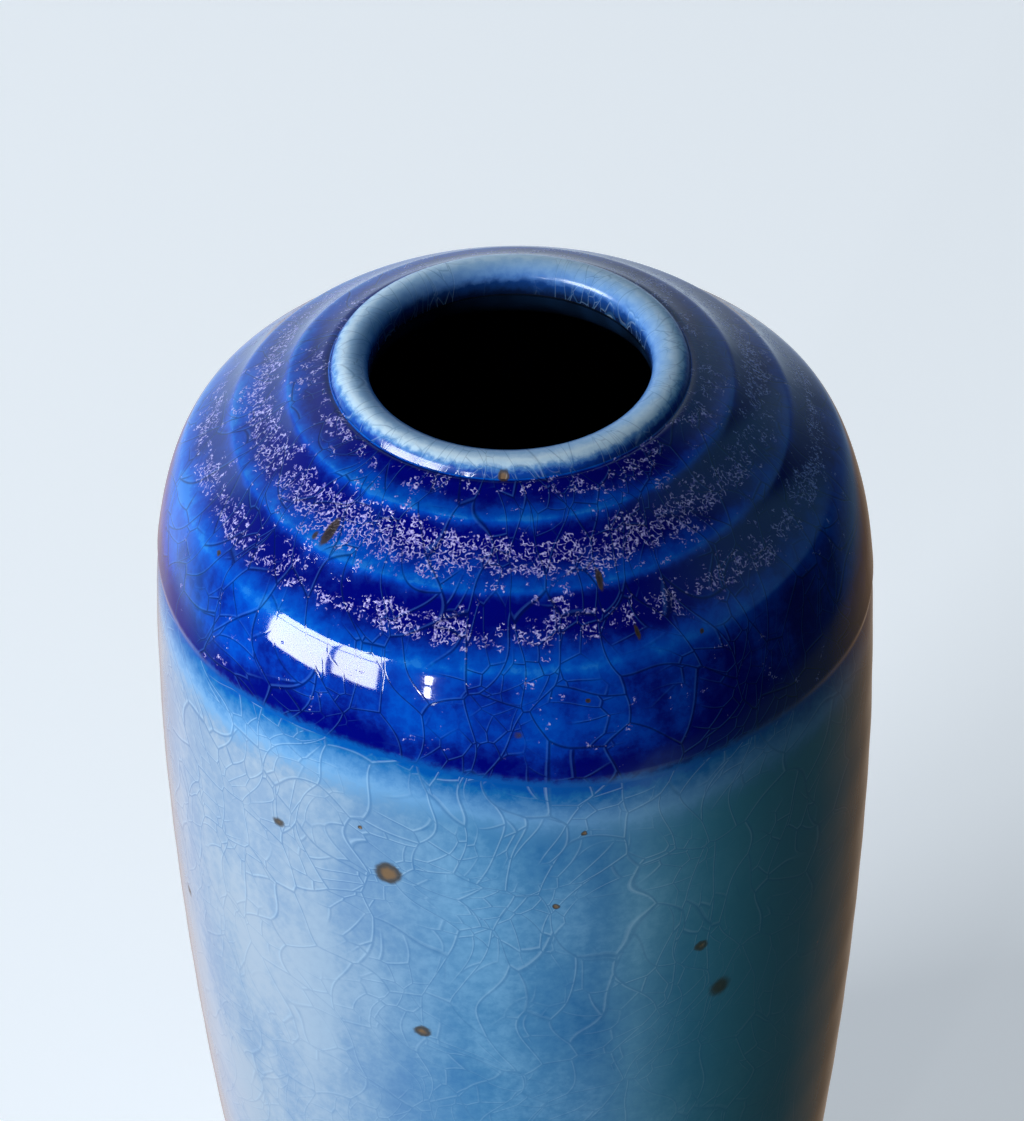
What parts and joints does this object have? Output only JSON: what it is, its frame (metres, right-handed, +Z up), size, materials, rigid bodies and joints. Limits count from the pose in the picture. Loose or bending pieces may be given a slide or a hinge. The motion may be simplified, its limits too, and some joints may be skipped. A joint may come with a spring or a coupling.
{
  "type": "bud vase",
  "caption": "Tall rounded stoneware bud vase with a narrow mouth, throwing rings on its shoulder, and cobalt glaze dipped over a pale blue base glaze.",
  "frame": {"origin": "centre of the circle the foot ring rests on", "axes": "+Z up the vase's axis of turning, towards the mouth; X and Y are any two horizontal directions, with -Y the side seen in front"},
  "size_m": [0.076, 0.076, 0.14],
  "materials": {
    "stoneware": "bare fired clay, matt, with iron specks",
    "pale_blue_glaze": "glossy and crackled",
    "cobalt_glaze": "glossy, crackled, with pale crystals in the throwing rings",
    "liner_glaze": "glossy"
  },
  "bodies": {
    "root": {"stoneware_body": "stoneware", "base_glaze": "pale_blue_glaze", "cobalt_glaze": "cobalt_glaze", "liner_glaze": "liner_glaze"}
  },
  "joints": []
}
